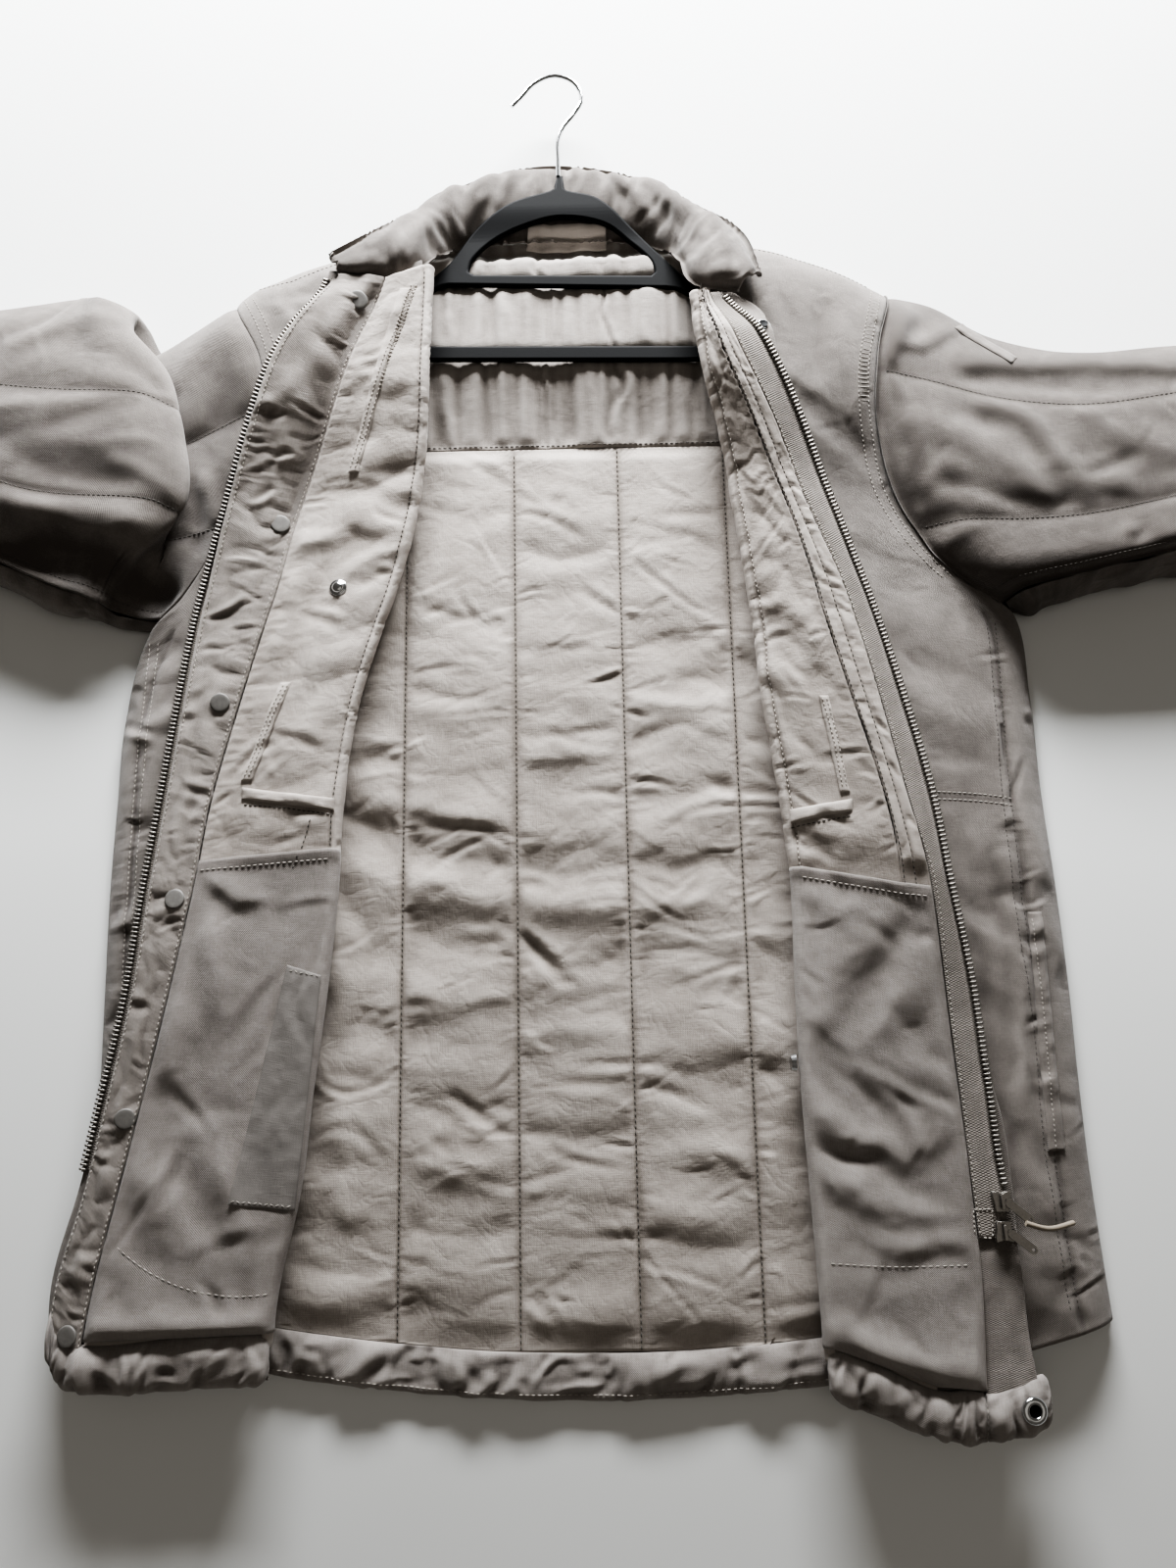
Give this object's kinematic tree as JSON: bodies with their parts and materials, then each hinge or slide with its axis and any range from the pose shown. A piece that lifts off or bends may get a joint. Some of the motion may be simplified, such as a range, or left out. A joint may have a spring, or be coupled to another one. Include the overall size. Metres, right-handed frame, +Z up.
{
  "type": "quilted jacket with clothes hanger",
  "caption": "Padded quilted jacket laid open flat, fronts turned back to show the lining, sleeves out to the sides, on a plastic clothes hanger with a wire hook",
  "frame": {"origin": "centre of the bounding box's underside, on the surface the garment lies on", "axes": "+X across the garment from the wearer's right to the wearer's left, +Y from the hem to the collar, +Z up from the surface it lies on"},
  "size_m": [1.72, 0.9756, 0.0544],
  "materials": {
    "shell_cotton": "garment-dyed cotton canvas, matt",
    "lining_cotton": "fine plain cotton, soft matt",
    "facing_cotton": "garment-dyed cotton canvas, matt",
    "label_satin": "grey satin, slight sheen",
    "zip_tape": "herringbone woven tape",
    "cord_cotton": "twisted cotton cord",
    "snap_enamel": "satin grey enamel",
    "zip_metal": "dull dyed metal",
    "chrome": "polished",
    "hanger_plastic": "satin black, moulded"
  },
  "bodies": {
    "jacket": {"back_hem_facing": "facing_cotton", "back_quilt_lining": "lining_cotton", "back_shell": "shell_cotton", "back_yoke_lining": "lining_cotton", "care_label": "label_satin", "collar": "shell_cotton", "cuff_l": "shell_cotton", "cuff_r": "shell_cotton", "front_l_facing": "facing_cotton", "front_l_hem_end": "shell_cotton", "front_l_hem_facing": "facing_cotton", "front_l_lining": "lining_cotton", "front_l_patch_pocket": "shell_cotton", "front_l_shell": "shell_cotton", "front_r_facing": "facing_cotton", "front_r_hem_facing": "facing_cotton", "front_r_lining": "lining_cotton", "front_r_patch_pocket": "shell_cotton", "front_r_shell": "shell_cotton", "hanger_body": "hanger_plastic", "hanger_hook": "chrome", "hanger_neck": "hanger_plastic", "inner_strip_r": "lining_cotton", "neck_label": "label_satin", "pocket_edge_l": "lining_cotton", "pocket_edge_r": "lining_cotton", "pocket_welt_l": "lining_cotton", "pocket_welt_r": "lining_cotton", "ring_bottom_l": "chrome", "ring_top_l": "chrome", "side_welt_l": "shell_cotton", "sleeve_l_top": "shell_cotton", "sleeve_l_under": "shell_cotton", "sleeve_r_top": "shell_cotton", "sleeve_r_under": "shell_cotton", "sleeve_tab_l": "shell_cotton", "snap_cap_1": "snap_enamel", "snap_cap_2": "snap_enamel", "snap_cap_3": "snap_enamel", "snap_cap_4": "snap_enamel", "snap_cap_5": "snap_enamel", "snap_cap_6": "snap_enamel", "storm_flap_l": "shell_cotton", "stud_l": "chrome", "stud_r": "chrome", "zip_slider_lower": "zip_metal", "zip_slider_upper": "zip_metal", "zip_tape_l": "zip_tape", "zip_tape_r": "zip_tape"},
    "pull_upper": {"zip_pull_upper": "zip_metal", "puller_cord": "cord_cotton"},
    "pull_lower": {"zip_pull_lower": "zip_metal"}
  },
  "joints": [
    {"name": "pull_upper_turn", "type": "hinge", "parent": "jacket", "child": "pull_upper", "pos_m": [0.255, -0.34878, 0.033], "axis": [0, 0, 1], "range_deg": [-8, 60]},
    {"name": "pull_lower_turn", "type": "hinge", "parent": "jacket", "child": "pull_lower", "pos_m": [0.255, -0.36678, 0.033], "axis": [0, 0, 1], "range_deg": [-60, 8]}
  ]
}
